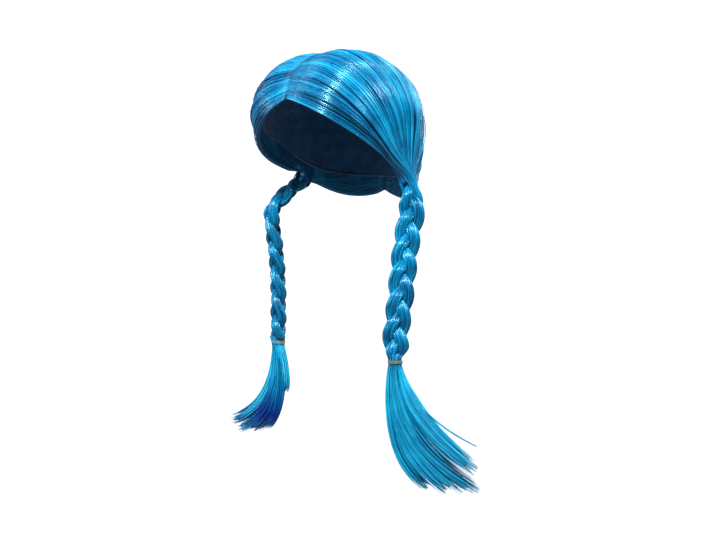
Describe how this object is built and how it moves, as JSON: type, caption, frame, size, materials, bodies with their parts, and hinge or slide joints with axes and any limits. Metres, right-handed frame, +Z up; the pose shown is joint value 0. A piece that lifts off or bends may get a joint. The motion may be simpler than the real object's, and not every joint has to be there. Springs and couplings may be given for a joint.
{
  "type": "pigtail wig",
  "caption": "Bright blue synthetic wig with a centre parting, gathered behind the ears into two plaited pigtails.",
  "frame": {"origin": "inside of the cap at the top of the head, where the wig sits on it", "axes": "+Z up; the face opening looks to -Y; the wearer's left is +X"},
  "size_m": [0.3426, 0.1845, 0.4886],
  "materials": {
    "hair_blue": "glossy smooth synthetic fibre, cyan highlights and royal blue depths",
    "cap_net": "matt stretch net with sewn wefts",
    "parting_skin": "matt skin-tone fabric",
    "elastic_tan": "satin tan rubber"
  },
  "bodies": {
    "root": {"wig_cap": "cap_net", "parting_strip": "parting_skin", "crown_hair_left": "hair_blue", "plait_left_strand_1": "hair_blue", "plait_left_strand_2": "hair_blue", "plait_left_strand_3": "hair_blue", "elastic_left": "elastic_tan", "tail_left": "hair_blue", "crown_hair_right": "hair_blue", "plait_right_strand_1": "hair_blue", "plait_right_strand_2": "hair_blue", "plait_right_strand_3": "hair_blue", "elastic_right": "elastic_tan", "tail_right": "hair_blue"}
  },
  "joints": []
}
